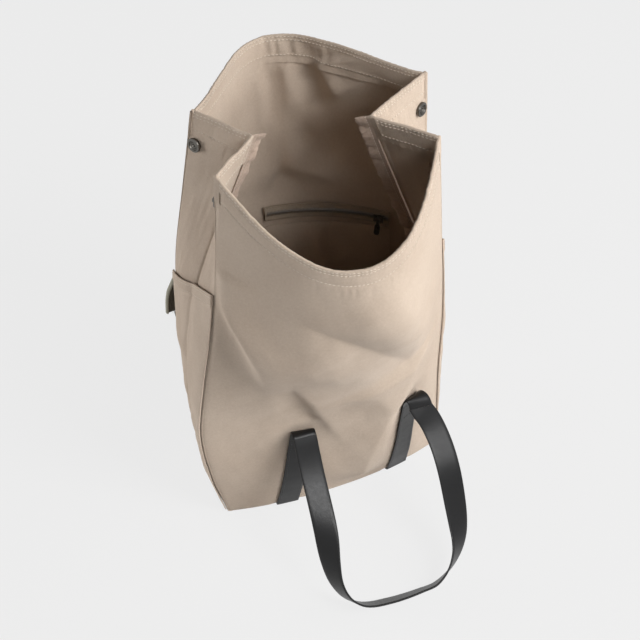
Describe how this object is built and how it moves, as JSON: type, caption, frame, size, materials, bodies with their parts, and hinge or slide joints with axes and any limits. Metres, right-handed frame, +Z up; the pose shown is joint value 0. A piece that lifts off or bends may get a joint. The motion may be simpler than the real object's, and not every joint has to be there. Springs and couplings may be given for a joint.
{
  "type": "tote backpack",
  "caption": "Open canvas tote backpack with side gussets that fold in, leather straps round the base ending in carrying loops, padded shoulder straps and an inner zip pocket.",
  "frame": {"origin": "middle of the underside of the base, on the ground", "axes": "+Z up towards the mouth, -Y towards the front face, +X to the right seen from the front"},
  "size_m": [0.3026, 0.48, 0.5002],
  "materials": {
    "canvas": "plain woven, matt",
    "facing": "plain woven, matt",
    "binding": "woven tape, matt",
    "leather": "pebbled grain, semi-matt",
    "gunmetal": "dark plated, satin",
    "zip_tape": "knitted tape, matt",
    "webbing": "ribbed nylon, matt"
  },
  "bodies": {
    "bag": {"front_panel": "canvas", "front_panel_facing": "facing", "right_gusset_front": "canvas", "right_gusset_front_facing": "facing", "right_gusset_back": "canvas", "right_gusset_back_facing": "facing", "back_panel": "canvas", "back_panel_facing": "facing", "left_gusset_back": "canvas", "left_gusset_back_facing": "facing", "left_gusset_front": "canvas", "left_gusset_front_facing": "facing", "base_panel": "canvas", "front_right_binding": "binding", "back_right_binding": "binding", "back_left_binding": "binding", "front_left_binding": "binding", "right_fold_binding": "binding", "left_fold_binding": "binding", "left_pocket": "canvas", "left_strap_run": "leather", "left_shoulder_pad": "canvas", "left_webbing": "webbing", "left_strap_anchor": "canvas", "left_snap_socket": "gunmetal", "left_snap_knob": "gunmetal", "right_pocket": "canvas", "right_strap_run": "leather", "right_shoulder_pad": "canvas", "right_webbing": "webbing", "right_strap_anchor": "canvas", "right_snap_socket": "gunmetal", "right_snap_knob": "gunmetal", "zip_tape": "zip_tape", "zip_coil": "zip_tape", "zip_pouch": "facing", "strap_yoke": "canvas"},
    "front_loop": {"front_handle": "leather"},
    "back_loop": {"back_handle": "leather"},
    "slider": {"zip_slider": "gunmetal"},
    "puller": {"zip_puller": "gunmetal"},
    "left_buckle": {"left_adjuster": "gunmetal"},
    "right_buckle": {"right_adjuster": "gunmetal"}
  },
  "joints": [
    {"name": "front_loop_swing", "type": "hinge", "parent": "bag", "child": "front_loop", "pos_m": [0.01877, -0.07946, 0.14678], "axis": [-1, 0, 0], "range_deg": [0, 105]},
    {"name": "back_loop_swing", "type": "hinge", "parent": "bag", "child": "back_loop", "pos_m": [0.01877, 0.08709, 0.1463], "axis": [1, 0, 0], "range_deg": [0, 88]},
    {"name": "zip_run", "type": "hinge", "parent": "bag", "child": "slider", "pos_m": [-0.03998, -0.11277, 0.3], "axis": [0, 0, 1], "range_deg": [0, 29]},
    {"name": "puller_flip", "type": "hinge", "parent": "slider", "child": "puller", "pos_m": [0.08272, 0.06585, 0.3015], "axis": [-0.8243, 0.5662, 0], "range_deg": [0, 160]},
    {"name": "left_buckle_slide", "type": "slide", "parent": "bag", "child": "left_buckle", "axis": [0.0882, -0.216, -0.9724], "range_m": [-0.025, 0.03]},
    {"name": "right_buckle_slide", "type": "slide", "parent": "bag", "child": "right_buckle", "axis": [-0.0615, -0.1315, -0.9894], "range_m": [-0.025, 0.03]}
  ]
}
